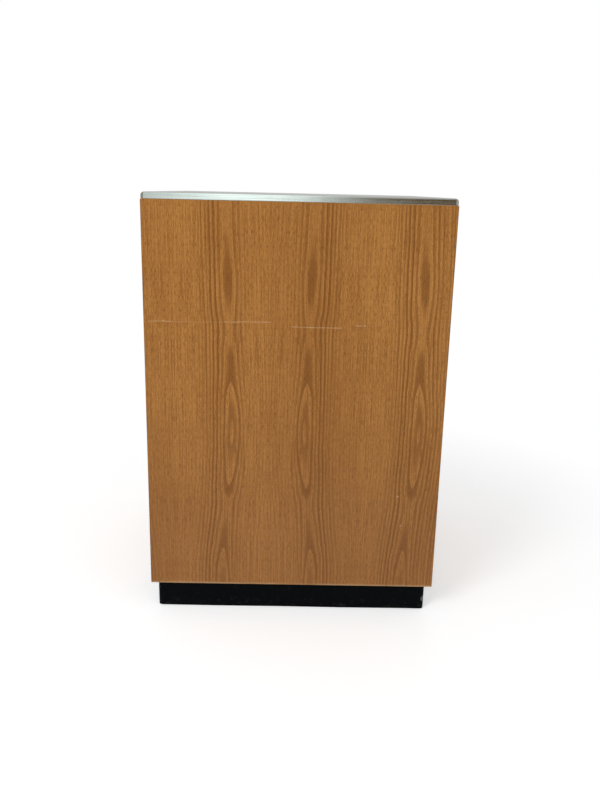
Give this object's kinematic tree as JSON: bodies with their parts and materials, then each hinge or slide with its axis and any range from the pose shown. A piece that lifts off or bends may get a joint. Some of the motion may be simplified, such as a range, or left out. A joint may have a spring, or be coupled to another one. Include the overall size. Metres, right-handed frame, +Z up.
{
  "type": "book drop box",
  "caption": "Upright oak-veneered book drop cabinet with a folded steel top, a deposit slot with an inward flap, a locked access door and a spring-lift platform on a black plinth.",
  "frame": {"origin": "bottom centre of the whole box, the door pull included, on the floor", "axes": "+Z up; the deposit slot and the access door face -Y; the plain back face is at +Y; +X is on the right when facing the slot"},
  "size_m": [0.63, 0.638, 0.914],
  "materials": {
    "oak_veneer": "book-matched oak veneer, satin lacquer",
    "oak_band": "oak edge band, satin lacquer",
    "plywood": "plain, unfinished",
    "brushed_top": "brushed along the width",
    "brushed_trim": "brushed",
    "zinc_plate": "bright zinc plate",
    "grey_paint": "fine powder coat",
    "black_vinyl": "soft satin vinyl",
    "black_rubber": "matte",
    "white_nylon": "satin",
    "rail_alloy": "mill finish",
    "spring_steel": "bright drawn wire",
    "ribbed_mat": "matte, ribbed"
  },
  "bodies": {
    "cabinet": {"side_panel_left": "oak_veneer", "side_panel_right": "oak_veneer", "front_edge_bands": "oak_band", "back_panel": "oak_veneer", "back_edge_bands": "oak_band", "front_panel": "oak_veneer", "deck_panel": "plywood", "top_core": "plywood", "steel_top": "brushed_top", "top_cleats": "plywood", "top_screws": "zinc_plate", "corner_strips": "plywood", "plinth_front": "plywood", "plinth_back": "plywood", "plinth_sides": "plywood", "plinth_blocks": "plywood", "leveling_feet": "zinc_plate", "base_strip": "black_vinyl", "slot_bezel": "brushed_trim", "flush_screws": "zinc_plate", "flap_rod": "zinc_plate", "rod_brackets": "zinc_plate", "flap_bumpers": "black_rubber", "chute": "grey_paint", "inner_screws": "zinc_plate", "lock_strike": "zinc_plate", "door_stop": "plywood", "door_bumpers": "black_rubber", "hinge_leaves_side": "zinc_plate", "hinge_pins": "zinc_plate", "hinge_screws_side": "zinc_plate", "magnet_catch": "white_nylon", "guide_rails": "rail_alloy", "rail_screws": "zinc_plate", "rail_stops": "black_rubber", "spring_seats_lower": "white_nylon", "spring_front_left": "spring_steel", "spring_front_right": "spring_steel", "spring_rear_left": "spring_steel", "spring_rear_right": "spring_steel"},
    "door": {"door_panel": "oak_veneer", "door_edge_bands": "oak_band", "hinge_leaves_door": "zinc_plate", "hinge_screws_door": "zinc_plate", "door_pull": "brushed_trim", "pull_screws": "zinc_plate", "lock_body": "brushed_trim", "lock_nut": "zinc_plate", "catch_plate": "zinc_plate"},
    "lock": {"lock_plug": "zinc_plate", "lock_cam": "zinc_plate", "cam_screw": "zinc_plate"},
    "flap": {"flap_plate": "brushed_trim"},
    "platform": {"platform_board": "plywood", "platform_mat": "ribbed_mat", "guide_shoes": "white_nylon", "shoe_brackets": "zinc_plate", "shoe_screws": "zinc_plate", "spring_seats_upper": "white_nylon"}
  },
  "joints": [
    {"name": "door_hinge", "type": "hinge", "parent": "cabinet", "child": "door", "pos_m": [-0.2945, -0.295, 0.342], "axis": [0, 0, -1], "range_deg": [0, 170]},
    {"name": "lock_turn", "type": "hinge", "parent": "door", "child": "lock", "pos_m": [0.248, -0.291, 0.585], "axis": [0, 1, 0], "range_deg": [0, 90]},
    {"name": "flap_hinge", "type": "hinge", "parent": "cabinet", "child": "flap", "pos_m": [0, -0.2665, 0.84], "axis": [1, 0, 0], "range_deg": [0, 70]},
    {"name": "platform_slide", "type": "slide", "parent": "cabinet", "child": "platform", "axis": [0, 0, 1], "range_m": [-0.24, 0], "stiffness_N_per_m": 1430, "springref_m": 0.05, "deforming": ["spring_front_left", "spring_front_right", "spring_rear_left", "spring_rear_right"]}
  ]
}
